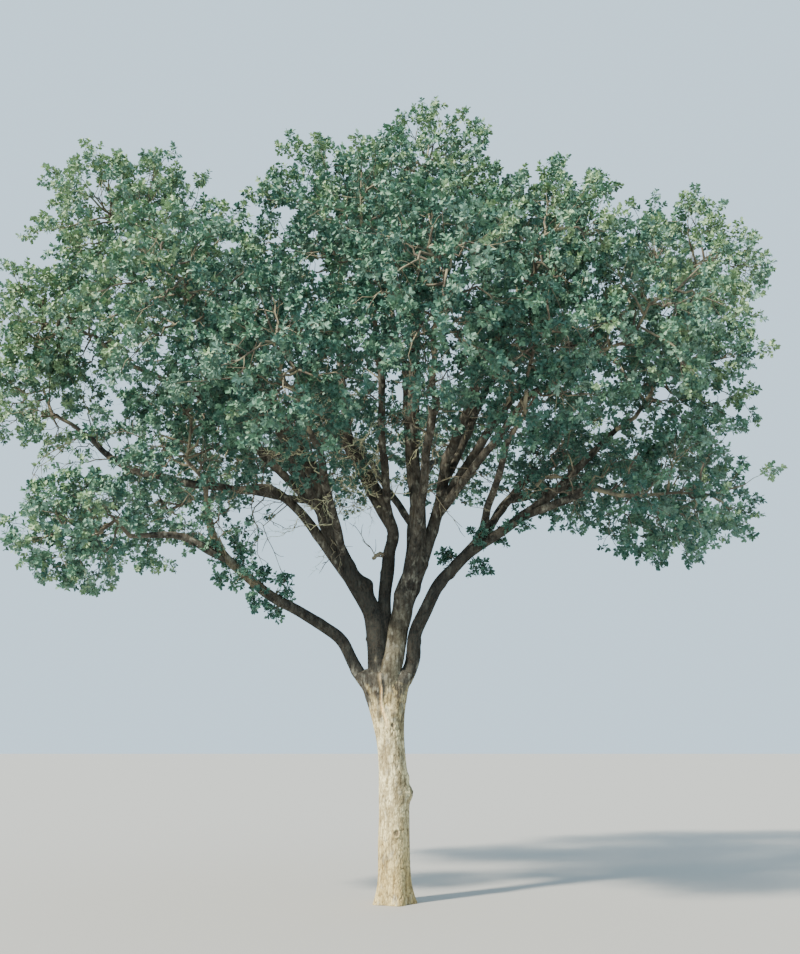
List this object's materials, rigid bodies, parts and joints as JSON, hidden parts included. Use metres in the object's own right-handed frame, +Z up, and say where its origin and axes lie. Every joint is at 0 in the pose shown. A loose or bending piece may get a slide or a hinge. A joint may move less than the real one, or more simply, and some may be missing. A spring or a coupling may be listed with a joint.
{
  "type": "oak tree",
  "caption": "Open-grown oak in summer leaf: short leaning trunk with root flare, a low fan of spreading boughs, and a broad domed crown of separate masses of foliage.",
  "frame": {"origin": "middle of the flat cut under the trunk, at ground level", "axes": "+Z up along the trunk, +X to the right as seen from the front, +Y to the back"},
  "size_m": [21.6307, 18.014, 19.4827],
  "materials": {
    "trunk_bark": "rough fissured grey-brown bark",
    "bough_bark": "rough dark grey-brown bark",
    "leaf": "satin green leaves"
  },
  "bodies": {
    "root": {"trunk": "trunk_bark", "bough_centre": "bough_bark", "bough_left": "bough_bark", "bough_right": "bough_bark", "bough_low_left": "bough_bark", "bough_centre_left": "bough_bark", "bough_centre_right": "bough_bark", "bough_low_left_side": "bough_bark", "bough_left_out": "bough_bark", "bough_left_high": "bough_bark", "bough_front_left": "bough_bark", "bough_right_rising": "bough_bark", "bough_low_right": "bough_bark", "bough_inner_right": "bough_bark", "bough_right_high": "bough_bark", "bough_front_right": "bough_bark", "bough_front": "bough_bark", "bough_front_low_left": "bough_bark", "bough_upper_front": "bough_bark", "bough_upper_front_right": "bough_bark", "bough_back_top": "bough_bark", "bough_back_upper_left": "bough_bark", "bough_back_upper_right": "bough_bark", "bough_back": "bough_bark", "bough_back_left": "bough_bark", "bough_back_right": "bough_bark", "bough_back_inner": "bough_bark", "bough_low_back_left": "bough_bark", "bough_low_back_right": "bough_bark", "foliage_centre": "leaf", "foliage_left": "leaf", "foliage_right": "leaf", "foliage_low_left": "leaf", "foliage_centre_left": "leaf", "foliage_centre_right": "leaf", "foliage_low_left_side": "leaf", "foliage_left_out": "leaf", "foliage_left_high": "leaf", "foliage_front_left": "leaf", "foliage_right_rising": "leaf", "foliage_low_right": "leaf", "foliage_inner_right": "leaf", "foliage_right_high": "leaf", "foliage_front_right": "leaf", "foliage_front": "leaf", "foliage_front_low_left": "leaf", "foliage_upper_front": "leaf", "foliage_upper_front_right": "leaf", "foliage_back_top": "leaf", "foliage_back_upper_left": "leaf", "foliage_back_upper_right": "leaf", "foliage_back": "leaf", "foliage_back_left": "leaf", "foliage_back_right": "leaf", "foliage_back_inner": "leaf", "foliage_low_back_left": "leaf", "foliage_low_back_right": "leaf"}
  },
  "joints": []
}
